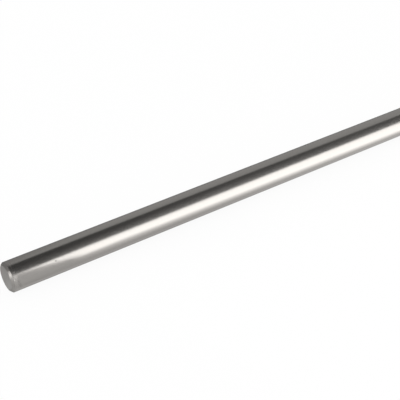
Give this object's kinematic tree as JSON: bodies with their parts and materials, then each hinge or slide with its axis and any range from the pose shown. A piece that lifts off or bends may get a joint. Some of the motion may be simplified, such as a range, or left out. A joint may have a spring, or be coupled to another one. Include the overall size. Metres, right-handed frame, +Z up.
{
  "type": "earth rod",
  "caption": "Plain solid round earth rod of bright stainless steel, chamfered at both ends, driven into the ground and joined with a rod clamp.",
  "frame": {"origin": "on the ground, under the middle of the rod's length, with the rod lying on Z = 0", "axes": "+X along the rod, from the end that the picture shows to the other; +Z up"},
  "size_m": [1.5, 0.016, 0.016],
  "materials": {
    "rod_steel": "bright drawn stainless steel, with fine drawing marks along the bar and machined end faces"
  },
  "bodies": {
    "root": {"earth_rod": "rod_steel"}
  },
  "joints": []
}
